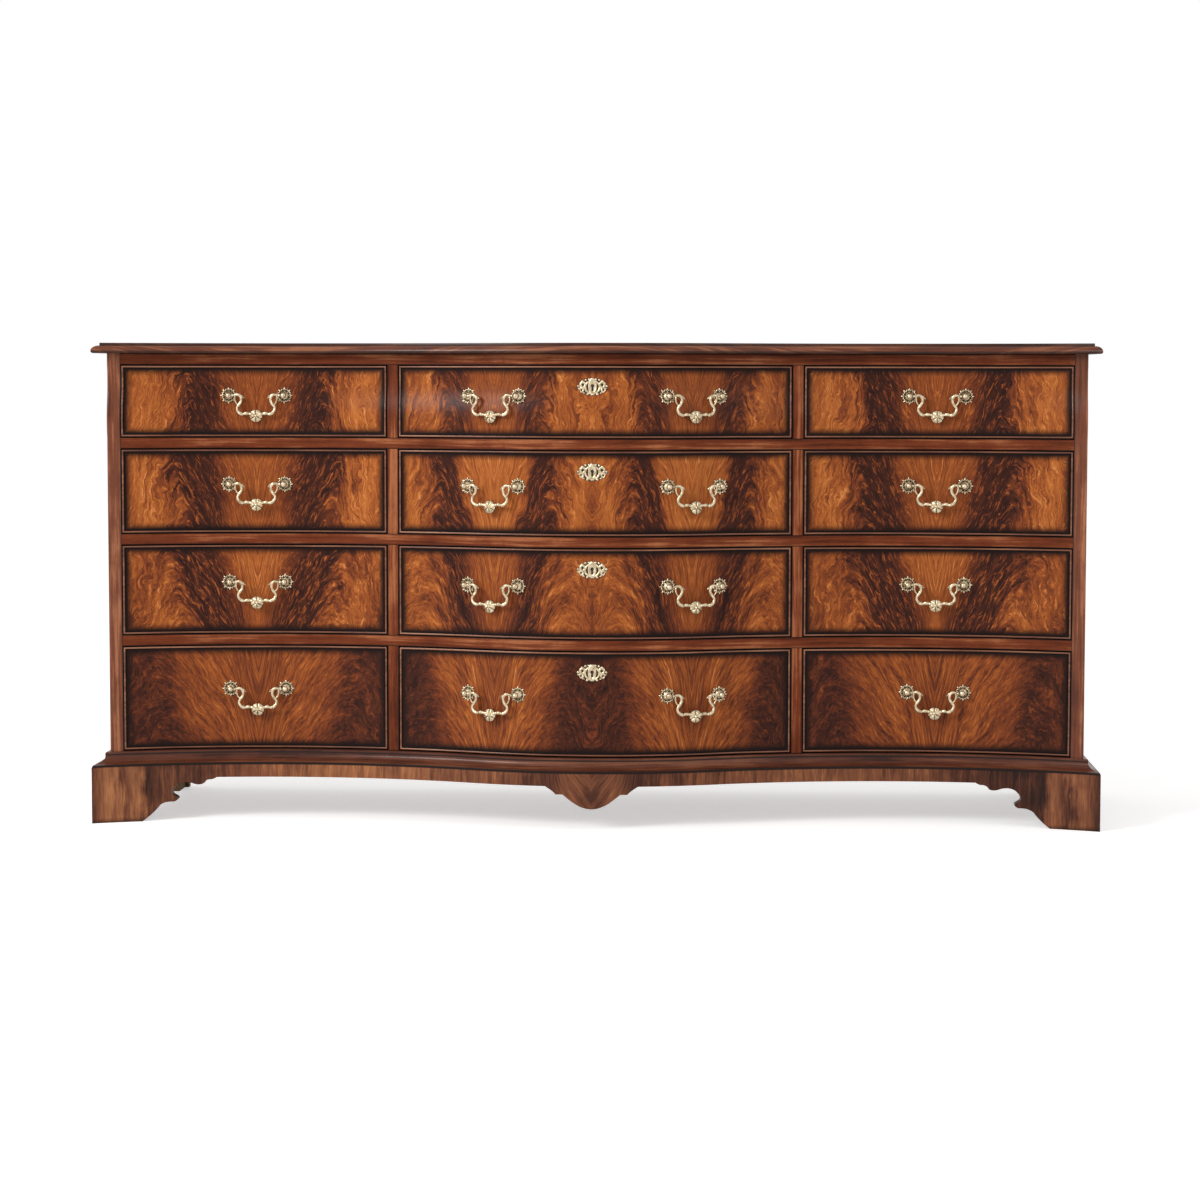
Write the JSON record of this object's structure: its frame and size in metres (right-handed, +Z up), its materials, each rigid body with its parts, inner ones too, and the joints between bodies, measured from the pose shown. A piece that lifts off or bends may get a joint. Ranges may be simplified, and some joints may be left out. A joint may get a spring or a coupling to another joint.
{
  "type": "dresser",
  "caption": "Long serpentine-front chest of drawers on scrolled bracket feet, with beaded drawer fronts, swan-neck bail pulls, keyhole escutcheons and a moulded top.",
  "frame": {"origin": "on the floor, under the middle of the dresser", "axes": "+Z up, -Y out of the drawer fronts, +X to the right when facing the front"},
  "size_m": [1.88, 0.561, 0.9],
  "materials": {
    "mahogany": "satin polished",
    "flame_veneer": "polished crotch veneer",
    "drawer_lining": "bare, waxed",
    "secondary_wood": "bare, sanded",
    "aged_brass": "aged, lightly polished"
  },
  "bodies": {
    "root": {"top_panel": "mahogany", "side_panels": "mahogany", "back_panel": "secondary_wood", "face_frame": "mahogany", "partitions_and_runners": "secondary_wood", "bottom_board": "secondary_wood", "base_moulding": "mahogany", "bracket_feet": "mahogany"},
    "row1_left_drawer": {"row1_left_front": "flame_veneer", "row1_left_box": "drawer_lining", "row1_left_fittings": "aged_brass"},
    "row1_left_bail": {"row1_left_bail": "aged_brass"},
    "row1_centre_drawer": {"row1_centre_front": "flame_veneer", "row1_centre_box": "drawer_lining", "row1_centre_fittings": "aged_brass"},
    "row1_centre_bail_left": {"row1_centre_bail_left": "aged_brass"},
    "row1_centre_bail_right": {"row1_centre_bail_right": "aged_brass"},
    "row1_right_drawer": {"row1_right_front": "flame_veneer", "row1_right_box": "drawer_lining", "row1_right_fittings": "aged_brass"},
    "row1_right_bail": {"row1_right_bail": "aged_brass"},
    "row2_left_drawer": {"row2_left_front": "flame_veneer", "row2_left_box": "drawer_lining", "row2_left_fittings": "aged_brass"},
    "row2_left_bail": {"row2_left_bail": "aged_brass"},
    "row2_centre_drawer": {"row2_centre_front": "flame_veneer", "row2_centre_box": "drawer_lining", "row2_centre_fittings": "aged_brass"},
    "row2_centre_bail_left": {"row2_centre_bail_left": "aged_brass"},
    "row2_centre_bail_right": {"row2_centre_bail_right": "aged_brass"},
    "row2_right_drawer": {"row2_right_front": "flame_veneer", "row2_right_box": "drawer_lining", "row2_right_fittings": "aged_brass"},
    "row2_right_bail": {"row2_right_bail": "aged_brass"},
    "row3_left_drawer": {"row3_left_front": "flame_veneer", "row3_left_box": "drawer_lining", "row3_left_fittings": "aged_brass"},
    "row3_left_bail": {"row3_left_bail": "aged_brass"},
    "row3_centre_drawer": {"row3_centre_front": "flame_veneer", "row3_centre_box": "drawer_lining", "row3_centre_fittings": "aged_brass"},
    "row3_centre_bail_left": {"row3_centre_bail_left": "aged_brass"},
    "row3_centre_bail_right": {"row3_centre_bail_right": "aged_brass"},
    "row3_right_drawer": {"row3_right_front": "flame_veneer", "row3_right_box": "drawer_lining", "row3_right_fittings": "aged_brass"},
    "row3_right_bail": {"row3_right_bail": "aged_brass"},
    "row4_left_drawer": {"row4_left_front": "flame_veneer", "row4_left_box": "drawer_lining", "row4_left_fittings": "aged_brass"},
    "row4_left_bail": {"row4_left_bail": "aged_brass"},
    "row4_centre_drawer": {"row4_centre_front": "flame_veneer", "row4_centre_box": "drawer_lining", "row4_centre_fittings": "aged_brass"},
    "row4_centre_bail_left": {"row4_centre_bail_left": "aged_brass"},
    "row4_centre_bail_right": {"row4_centre_bail_right": "aged_brass"},
    "row4_right_drawer": {"row4_right_front": "flame_veneer", "row4_right_box": "drawer_lining", "row4_right_fittings": "aged_brass"},
    "row4_right_bail": {"row4_right_bail": "aged_brass"}
  },
  "joints": [
    {"name": "row1_left_slide", "type": "slide", "parent": "root", "child": "row1_left_drawer", "axis": [0, -1, 0], "range_m": [0, 0.3]},
    {"name": "row1_left_bail_hinge", "type": "hinge", "parent": "row1_left_drawer", "child": "row1_left_bail", "pos_m": [-0.63882, -0.16128, 0.80213], "axis": [-0.9974, -0.0724, 0], "range_deg": [0, 85]},
    {"name": "row1_centre_slide", "type": "slide", "parent": "root", "child": "row1_centre_drawer", "axis": [0, -1, 0], "range_m": [0, 0.3]},
    {"name": "row1_centre_bail_left_hinge", "type": "hinge", "parent": "row1_centre_drawer", "child": "row1_centre_bail_left", "pos_m": [-0.19078, -0.23284, 0.80213], "axis": [-0.9486, 0.3166, 0], "range_deg": [0, 85]},
    {"name": "row1_centre_bail_right_hinge", "type": "hinge", "parent": "row1_centre_drawer", "child": "row1_centre_bail_right", "pos_m": [0.19078, -0.23284, 0.80213], "axis": [-0.9486, -0.3166, 0], "range_deg": [0, 85]},
    {"name": "row1_right_slide", "type": "slide", "parent": "root", "child": "row1_right_drawer", "axis": [0, -1, 0], "range_m": [0, 0.3]},
    {"name": "row1_right_bail_hinge", "type": "hinge", "parent": "row1_right_drawer", "child": "row1_right_bail", "pos_m": [0.63882, -0.16128, 0.80213], "axis": [-0.9974, 0.0724, 0], "range_deg": [0, 85]},
    {"name": "row2_left_slide", "type": "slide", "parent": "root", "child": "row2_left_drawer", "axis": [0, -1, 0], "range_m": [0, 0.3]},
    {"name": "row2_left_bail_hinge", "type": "hinge", "parent": "row2_left_drawer", "child": "row2_left_bail", "pos_m": [-0.63852, -0.16538, 0.63501], "axis": [-0.9974, -0.0724, 0], "range_deg": [0, 85]},
    {"name": "row2_centre_slide", "type": "slide", "parent": "root", "child": "row2_centre_drawer", "axis": [0, -1, 0], "range_m": [0, 0.3]},
    {"name": "row2_centre_bail_left_hinge", "type": "hinge", "parent": "row2_centre_drawer", "child": "row2_centre_bail_left", "pos_m": [-0.19199, -0.23677, 0.63501], "axis": [-0.9486, 0.3166, 0], "range_deg": [0, 85]},
    {"name": "row2_centre_bail_right_hinge", "type": "hinge", "parent": "row2_centre_drawer", "child": "row2_centre_bail_right", "pos_m": [0.19199, -0.23677, 0.63501], "axis": [-0.9486, -0.3166, 0], "range_deg": [0, 85]},
    {"name": "row2_right_slide", "type": "slide", "parent": "root", "child": "row2_right_drawer", "axis": [0, -1, 0], "range_m": [0, 0.3]},
    {"name": "row2_right_bail_hinge", "type": "hinge", "parent": "row2_right_drawer", "child": "row2_right_bail", "pos_m": [0.63852, -0.16538, 0.63501], "axis": [-0.9974, 0.0724, 0], "range_deg": [0, 85]},
    {"name": "row3_left_slide", "type": "slide", "parent": "root", "child": "row3_left_drawer", "axis": [0, -1, 0], "range_m": [0, 0.3]},
    {"name": "row3_left_bail_hinge", "type": "hinge", "parent": "row3_left_drawer", "child": "row3_left_bail", "pos_m": [-0.63852, -0.16538, 0.44985], "axis": [-0.9974, -0.0724, 0], "range_deg": [0, 85]},
    {"name": "row3_centre_slide", "type": "slide", "parent": "root", "child": "row3_centre_drawer", "axis": [0, -1, 0], "range_m": [0, 0.3]},
    {"name": "row3_centre_bail_left_hinge", "type": "hinge", "parent": "row3_centre_drawer", "child": "row3_centre_bail_left", "pos_m": [-0.19199, -0.23677, 0.44985], "axis": [-0.9486, 0.3166, 0], "range_deg": [0, 85]},
    {"name": "row3_centre_bail_right_hinge", "type": "hinge", "parent": "row3_centre_drawer", "child": "row3_centre_bail_right", "pos_m": [0.19199, -0.23677, 0.44985], "axis": [-0.9486, -0.3166, 0], "range_deg": [0, 85]},
    {"name": "row3_right_slide", "type": "slide", "parent": "root", "child": "row3_right_drawer", "axis": [0, -1, 0], "range_m": [0, 0.3]},
    {"name": "row3_right_bail_hinge", "type": "hinge", "parent": "row3_right_drawer", "child": "row3_right_bail", "pos_m": [0.63852, -0.16538, 0.44985], "axis": [-0.9974, 0.0724, 0], "range_deg": [0, 85]},
    {"name": "row4_left_slide", "type": "slide", "parent": "root", "child": "row4_left_drawer", "axis": [0, -1, 0], "range_m": [0, 0.3]},
    {"name": "row4_left_bail_hinge", "type": "hinge", "parent": "row4_left_drawer", "child": "row4_left_bail", "pos_m": [-0.63852, -0.16538, 0.24705], "axis": [-0.9974, -0.0724, 0], "range_deg": [0, 85]},
    {"name": "row4_centre_slide", "type": "slide", "parent": "root", "child": "row4_centre_drawer", "axis": [0, -1, 0], "range_m": [0, 0.3]},
    {"name": "row4_centre_bail_left_hinge", "type": "hinge", "parent": "row4_centre_drawer", "child": "row4_centre_bail_left", "pos_m": [-0.19199, -0.23677, 0.24705], "axis": [-0.9486, 0.3166, 0], "range_deg": [0, 85]},
    {"name": "row4_centre_bail_right_hinge", "type": "hinge", "parent": "row4_centre_drawer", "child": "row4_centre_bail_right", "pos_m": [0.19199, -0.23677, 0.24705], "axis": [-0.9486, -0.3166, 0], "range_deg": [0, 85]},
    {"name": "row4_right_slide", "type": "slide", "parent": "root", "child": "row4_right_drawer", "axis": [0, -1, 0], "range_m": [0, 0.3]},
    {"name": "row4_right_bail_hinge", "type": "hinge", "parent": "row4_right_drawer", "child": "row4_right_bail", "pos_m": [0.63852, -0.16538, 0.24705], "axis": [-0.9974, 0.0724, 0], "range_deg": [0, 85]}
  ]
}
